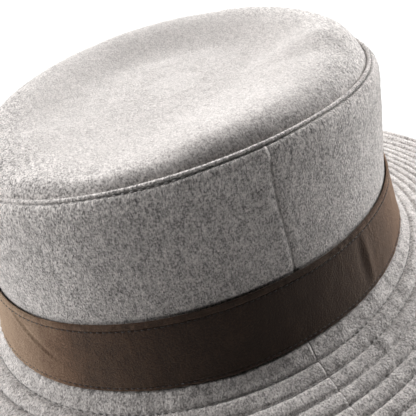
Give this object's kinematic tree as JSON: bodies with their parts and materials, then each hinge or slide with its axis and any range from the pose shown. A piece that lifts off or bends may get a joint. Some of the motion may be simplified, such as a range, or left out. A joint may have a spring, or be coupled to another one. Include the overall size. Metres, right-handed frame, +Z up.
{
  "type": "stitched wool hat",
  "caption": "Cut-and-sewn light grey wool hat with an oval flat-topped crown, a wide stitched brim and a loose brown suede band that lifts off over the crown.",
  "frame": {"origin": "centre of the hat's bounding box on the surface it stands on, level with the underside of the brim's rim", "axes": "+Z up through the crown, -Y towards the front of the hat, X across the head"},
  "size_m": [0.3316, 0.3746, 0.1207],
  "materials": {
    "grey_wool": "napped heather wool, matt",
    "grey_thread": "spun thread, matt",
    "canvas": "stiff woven canvas, matt",
    "lining": "satin lining, soft sheen",
    "sweatband": "ribbed cotton ribbon, matt",
    "dark_thread": "spun thread, matt",
    "tape": "plain cotton tape, matt",
    "label": "blank woven label, satin",
    "suede": "short-napped suede, soft edge sheen",
    "band_backing": "plain twill, matt"
  },
  "bodies": {
    "hat": {"crown_tip": "grey_wool", "crown_side_front": "grey_wool", "crown_side_back": "grey_wool", "brim_top_front": "grey_wool", "brim_top_back": "grey_wool", "brim_under_front": "grey_wool", "brim_under_back": "grey_wool", "tip_topstitching": "grey_thread", "brim_row_01": "grey_thread", "brim_row_02": "grey_thread", "brim_row_03": "grey_thread", "brim_row_04": "grey_thread", "brim_row_05": "grey_thread", "brim_row_06": "grey_thread", "brim_row_07": "grey_thread", "brim_row_08": "grey_thread", "brim_row_09": "grey_thread", "brim_row_10": "grey_thread", "brim_row_11": "grey_thread", "brim_row_12": "grey_thread", "tip_canvas": "canvas", "side_canvas": "canvas", "brim_canvas": "canvas", "lining_tip": "lining", "lining_side_front": "lining", "lining_side_back": "lining", "sweatband": "sweatband", "sweatband_joint_tab": "sweatband", "sweatband_stitching": "dark_thread", "crown_seam_tape": "tape", "size_label": "label"},
    "band": {"band_strap": "suede", "band_joint_cover": "suede", "band_backing": "band_backing", "band_upper_stitching": "dark_thread", "band_lower_stitching": "dark_thread"}
  },
  "joints": [
    {"name": "band_lift", "type": "slide", "parent": "hat", "child": "band", "axis": [0, 0, 1], "range_m": [0, 0.11]}
  ]
}
